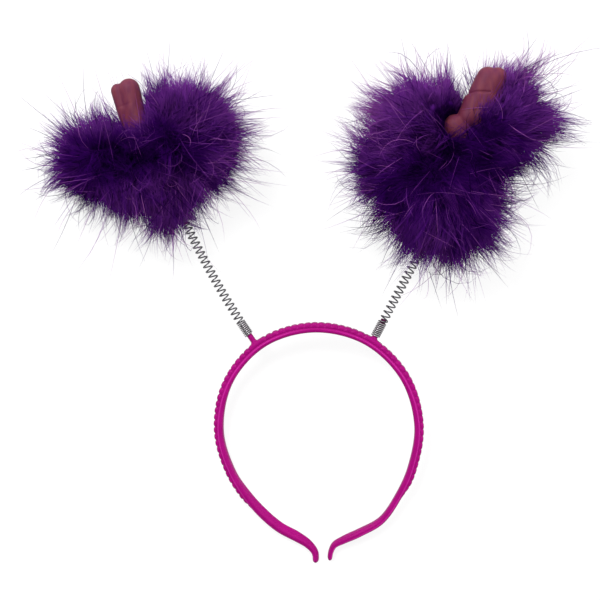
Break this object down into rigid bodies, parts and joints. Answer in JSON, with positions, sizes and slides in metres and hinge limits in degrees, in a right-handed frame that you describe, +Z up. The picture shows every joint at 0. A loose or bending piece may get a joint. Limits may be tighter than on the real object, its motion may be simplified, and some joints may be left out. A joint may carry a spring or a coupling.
{
  "type": "head bopper",
  "caption": "Ribbed plastic alice band with a coil spring on each side, each ending in a soft topper in a feather pompom.",
  "frame": {"origin": "middle of the object's footprint, on the table it lies on", "axes": "+Z up from the table, +Y from the hooks to the crown of the band, +X to the right as seen from above"},
  "size_m": [0.329, 0.3104, 0.0833],
  "materials": {
    "band_plastic": "moulded magenta plastic, satin gloss",
    "spring_steel": "drawn steel spring wire, dark and slightly dull",
    "feather_fluff": "dyed deep violet marabou feather, fluffy and matt",
    "topper_plastic": "soft moulded vinyl, dusty pink, satin"
  },
  "bodies": {
    "root": {"band": "band_plastic", "spring_left": "spring_steel", "spring_right": "spring_steel", "pom_left": "feather_fluff", "pom_right": "feather_fluff", "topper_left": "topper_plastic", "topper_right": "topper_plastic"}
  },
  "joints": []
}
